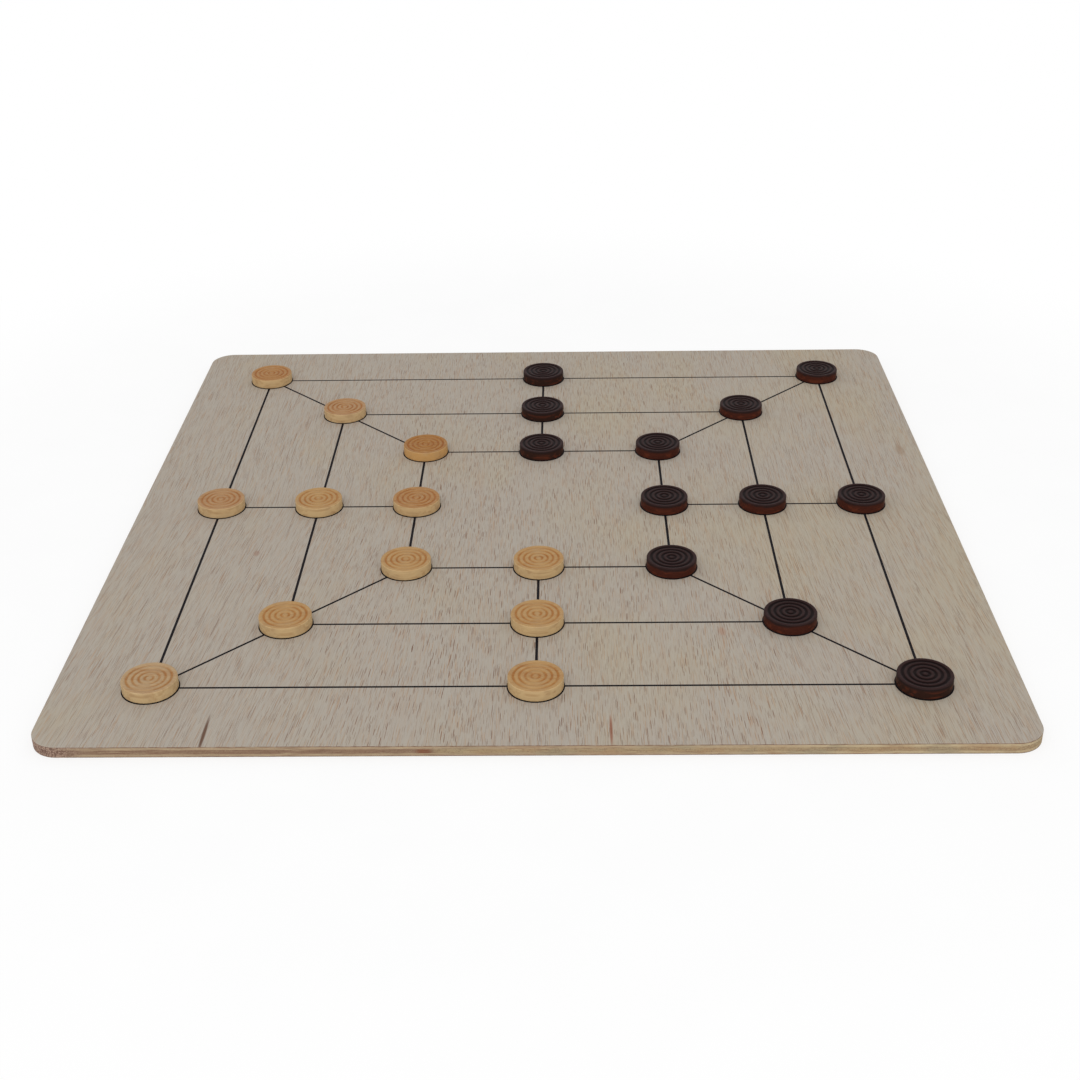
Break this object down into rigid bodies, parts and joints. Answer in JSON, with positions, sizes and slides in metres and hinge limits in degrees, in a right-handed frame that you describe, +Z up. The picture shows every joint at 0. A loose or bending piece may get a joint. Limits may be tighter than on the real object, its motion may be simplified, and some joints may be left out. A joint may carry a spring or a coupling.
{
  "type": "morabaraba board",
  "caption": "Square plywood board with rounded corners, drawn with nested squares, joining lines and ringed points, and light and dark turned wooden discs that lift off it.",
  "frame": {"origin": "middle of the underside, on the surface the board rests on", "axes": "+Z up out of the playing face, +Y away from the near player along the face grain, +X to that player's right"},
  "size_m": [0.5, 0.5, 0.0129],
  "materials": {
    "face_veneer": "bare sanded veneer with fine pores along Y",
    "crossband": "pale sawn edge of the crossing plies",
    "core_ply": "brown end grain of the middle ply",
    "line_paint": "matt black paint level with the face",
    "light_disc": "turned and lightly waxed natural wood",
    "dark_disc": "turned wood stained dark, satin"
  },
  "bodies": {
    "board": {"bottom_face_veneer": "face_veneer", "lower_crossband": "crossband", "core_ply": "core_ply", "upper_crossband": "crossband", "top_face_veneer": "face_veneer", "outer_square_lines": "line_paint", "middle_square_lines": "line_paint", "inner_square_lines": "line_paint", "midpoint_lines": "line_paint", "corner_lines": "line_paint", "point_rings": "line_paint"},
    "disc_a1": {"light_disc_a1": "light_disc"},
    "disc_d1": {"light_disc_d1": "light_disc"},
    "disc_g1": {"dark_disc_g1": "dark_disc"},
    "disc_g4": {"dark_disc_g4": "dark_disc"},
    "disc_g7": {"dark_disc_g7": "dark_disc"},
    "disc_d7": {"dark_disc_d7": "dark_disc"},
    "disc_a7": {"light_disc_a7": "light_disc"},
    "disc_a4": {"light_disc_a4": "light_disc"},
    "disc_b2": {"light_disc_b2": "light_disc"},
    "disc_d2": {"light_disc_d2": "light_disc"},
    "disc_f2": {"dark_disc_f2": "dark_disc"},
    "disc_f4": {"dark_disc_f4": "dark_disc"},
    "disc_f6": {"dark_disc_f6": "dark_disc"},
    "disc_d6": {"dark_disc_d6": "dark_disc"},
    "disc_b6": {"light_disc_b6": "light_disc"},
    "disc_b4": {"light_disc_b4": "light_disc"},
    "disc_c3": {"light_disc_c3": "light_disc"},
    "disc_d3": {"light_disc_d3": "light_disc"},
    "disc_e3": {"dark_disc_e3": "dark_disc"},
    "disc_e4": {"dark_disc_e4": "dark_disc"},
    "disc_e5": {"dark_disc_e5": "dark_disc"},
    "disc_d5": {"dark_disc_d5": "dark_disc"},
    "disc_c5": {"light_disc_c5": "light_disc"},
    "disc_c4": {"light_disc_c4": "light_disc"}
  },
  "joints": [
    {"name": "lift_a1", "type": "slide", "parent": "board", "child": "disc_a1", "axis": [0, 0, 1], "range_m": [0, 0.06]},
    {"name": "lift_d1", "type": "slide", "parent": "board", "child": "disc_d1", "axis": [0, 0, 1], "range_m": [0, 0.06]},
    {"name": "lift_g1", "type": "slide", "parent": "board", "child": "disc_g1", "axis": [0, 0, 1], "range_m": [0, 0.06]},
    {"name": "lift_g4", "type": "slide", "parent": "board", "child": "disc_g4", "axis": [0, 0, 1], "range_m": [0, 0.06]},
    {"name": "lift_g7", "type": "slide", "parent": "board", "child": "disc_g7", "axis": [0, 0, 1], "range_m": [0, 0.06]},
    {"name": "lift_d7", "type": "slide", "parent": "board", "child": "disc_d7", "axis": [0, 0, 1], "range_m": [0, 0.06]},
    {"name": "lift_a7", "type": "slide", "parent": "board", "child": "disc_a7", "axis": [0, 0, 1], "range_m": [0, 0.06]},
    {"name": "lift_a4", "type": "slide", "parent": "board", "child": "disc_a4", "axis": [0, 0, 1], "range_m": [0, 0.06]},
    {"name": "lift_b2", "type": "slide", "parent": "board", "child": "disc_b2", "axis": [0, 0, 1], "range_m": [0, 0.06]},
    {"name": "lift_d2", "type": "slide", "parent": "board", "child": "disc_d2", "axis": [0, 0, 1], "range_m": [0, 0.06]},
    {"name": "lift_f2", "type": "slide", "parent": "board", "child": "disc_f2", "axis": [0, 0, 1], "range_m": [0, 0.06]},
    {"name": "lift_f4", "type": "slide", "parent": "board", "child": "disc_f4", "axis": [0, 0, 1], "range_m": [0, 0.06]},
    {"name": "lift_f6", "type": "slide", "parent": "board", "child": "disc_f6", "axis": [0, 0, 1], "range_m": [0, 0.06]},
    {"name": "lift_d6", "type": "slide", "parent": "board", "child": "disc_d6", "axis": [0, 0, 1], "range_m": [0, 0.06]},
    {"name": "lift_b6", "type": "slide", "parent": "board", "child": "disc_b6", "axis": [0, 0, 1], "range_m": [0, 0.06]},
    {"name": "lift_b4", "type": "slide", "parent": "board", "child": "disc_b4", "axis": [0, 0, 1], "range_m": [0, 0.06]},
    {"name": "lift_c3", "type": "slide", "parent": "board", "child": "disc_c3", "axis": [0, 0, 1], "range_m": [0, 0.06]},
    {"name": "lift_d3", "type": "slide", "parent": "board", "child": "disc_d3", "axis": [0, 0, 1], "range_m": [0, 0.06]},
    {"name": "lift_e3", "type": "slide", "parent": "board", "child": "disc_e3", "axis": [0, 0, 1], "range_m": [0, 0.06]},
    {"name": "lift_e4", "type": "slide", "parent": "board", "child": "disc_e4", "axis": [0, 0, 1], "range_m": [0, 0.06]},
    {"name": "lift_e5", "type": "slide", "parent": "board", "child": "disc_e5", "axis": [0, 0, 1], "range_m": [0, 0.06]},
    {"name": "lift_d5", "type": "slide", "parent": "board", "child": "disc_d5", "axis": [0, 0, 1], "range_m": [0, 0.06]},
    {"name": "lift_c5", "type": "slide", "parent": "board", "child": "disc_c5", "axis": [0, 0, 1], "range_m": [0, 0.06]},
    {"name": "lift_c4", "type": "slide", "parent": "board", "child": "disc_c4", "axis": [0, 0, 1], "range_m": [0, 0.06]}
  ]
}
